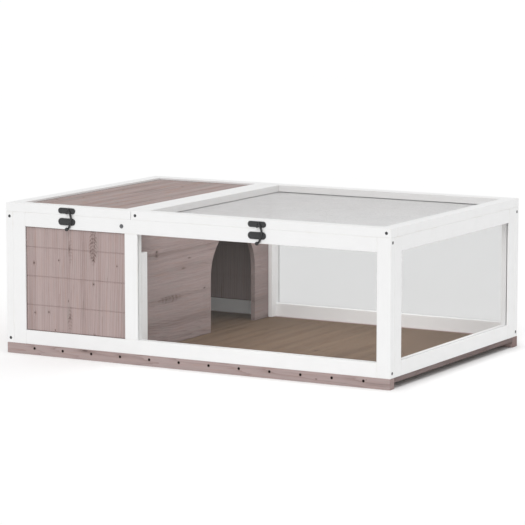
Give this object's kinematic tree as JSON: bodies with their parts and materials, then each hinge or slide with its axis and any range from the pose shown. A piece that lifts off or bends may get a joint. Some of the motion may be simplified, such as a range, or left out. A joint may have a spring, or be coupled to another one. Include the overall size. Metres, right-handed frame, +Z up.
{
  "type": "tortoise house",
  "caption": "Low timber tortoise house: boarded hide room and glazed run with an arched doorway between, under a boarded lid and a wire mesh lid, hinged at the back and held by swivel latches.",
  "frame": {"origin": "on the ground under the middle of the bounding box", "axes": "+X along the house from the hide room to the run, to the right seen from the front; +Y from the latched front to the hinged back; +Z up"},
  "size_m": [0.98, 0.6664, 0.345],
  "materials": {
    "painted_timber": "white painted pine, satin, faint grain",
    "stained_timber": "brown stained pine with knots, matt",
    "clear_acrylic": "clear acrylic sheet, polished",
    "black_metal": "black powder coat, satin",
    "galvanised_wire": "galvanised welded wire"
  },
  "bodies": {
    "house": {"base_front_beam": "stained_timber", "base_nails": "black_metal", "base_rear_beam": "stained_timber", "divider": "stained_timber", "divider_front_cleats": "painted_timber", "divider_rear_cleats": "painted_timber", "floor_panel": "stained_timber", "frame_screws": "black_metal", "front_board": "stained_timber", "front_bottom_rail": "painted_timber", "front_left_stile": "painted_timber", "front_mid_stile": "painted_timber", "front_right_stile": "painted_timber", "front_top_rail": "painted_timber", "front_window": "clear_acrylic", "hinge_pins": "black_metal", "latch_rail_plates": "black_metal", "latch_rivets": "black_metal", "left_board": "stained_timber", "left_bottom_rail": "painted_timber", "left_front_stile": "painted_timber", "left_rear_stile": "painted_timber", "left_top_rail": "painted_timber", "rail_screw": "black_metal", "rear_board": "stained_timber", "rear_bottom_rail": "painted_timber", "rear_left_stile": "painted_timber", "rear_mid_stile": "painted_timber", "rear_right_stile": "painted_timber", "rear_top_rail": "painted_timber", "rear_window": "clear_acrylic", "right_bottom_rail": "painted_timber", "right_front_stile": "painted_timber", "right_rear_stile": "painted_timber", "right_top_rail": "painted_timber", "right_window": "clear_acrylic", "wall_hinge_leaves": "black_metal", "wall_small_screws": "black_metal"},
    "solid_lid": {"solid_lid_board": "stained_timber", "solid_lid_front_rail": "painted_timber", "solid_lid_hinge_leaves": "black_metal", "solid_lid_keeper_plate": "black_metal", "solid_lid_keeper_stud": "black_metal", "solid_lid_left_rail": "painted_timber", "solid_lid_rear_rail": "painted_timber", "solid_lid_right_rail": "painted_timber", "solid_lid_small_screws": "black_metal"},
    "mesh_lid": {"mesh_lid_front_rail": "painted_timber", "mesh_lid_hinge_leaves": "black_metal", "mesh_lid_keeper_plate": "black_metal", "mesh_lid_keeper_stud": "black_metal", "mesh_lid_left_rail": "painted_timber", "mesh_lid_rear_rail": "painted_timber", "mesh_lid_right_rail": "painted_timber", "mesh_lid_screws": "black_metal", "mesh_lid_small_screws": "black_metal", "wire_mesh": "galvanised_wire"},
    "left_lever": {"left_latch_lever": "black_metal"},
    "right_lever": {"right_latch_lever": "black_metal"}
  },
  "joints": [
    {"name": "solid_lid_hinge", "type": "hinge", "parent": "house", "child": "solid_lid", "pos_m": [-0.32317, 0.33042, 0.3254], "axis": [-1, 0, 0], "range_deg": [0, 180]},
    {"name": "mesh_lid_hinge", "type": "hinge", "parent": "house", "child": "mesh_lid", "pos_m": [0.16733, 0.33042, 0.3254], "axis": [-1, 0, 0], "range_deg": [0, 180]},
    {"name": "left_latch_turn", "type": "hinge", "parent": "house", "child": "left_lever", "pos_m": [-0.31638, -0.32267, 0.3106], "axis": [0, 1, 0], "range_deg": [0, 90]},
    {"name": "right_latch_turn", "type": "hinge", "parent": "house", "child": "right_lever", "pos_m": [0.17413, -0.32267, 0.3106], "axis": [0, 1, 0], "range_deg": [0, 90]}
  ]
}
